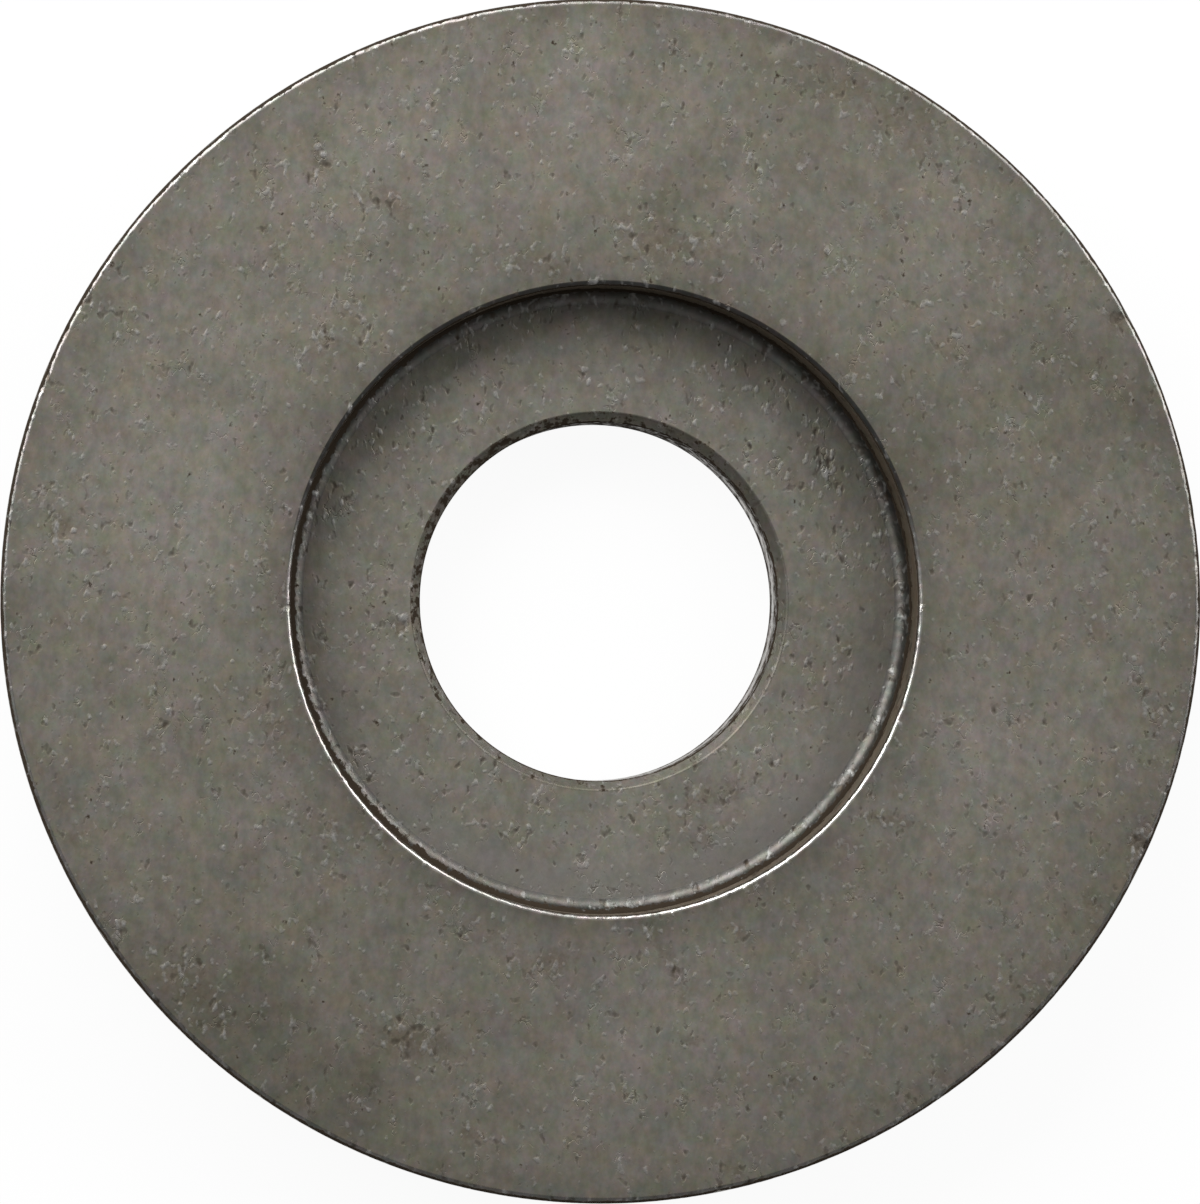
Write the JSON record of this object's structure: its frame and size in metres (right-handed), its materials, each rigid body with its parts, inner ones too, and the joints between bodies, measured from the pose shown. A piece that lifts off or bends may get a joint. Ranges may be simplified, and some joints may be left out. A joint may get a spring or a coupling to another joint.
{
  "type": "shock stop washer",
  "caption": "Thick round steel washer with a bore for a damper rod's spigot and a shallow round recess with a filleted foot in its upper face.",
  "frame": {"origin": "on the washer's axis, in the plane of the lower face that it rests on", "axes": "+Z along the axis, out of the recessed upper face; X and Y are any two directions across the face"},
  "size_m": [0.04, 0.04, 0.005],
  "materials": {
    "tumbled_steel": "matte tumbled grey steel, mottled and speckled with fine pits and handling marks"
  },
  "bodies": {
    "root": {"stop_washer": "tumbled_steel"}
  },
  "joints": []
}
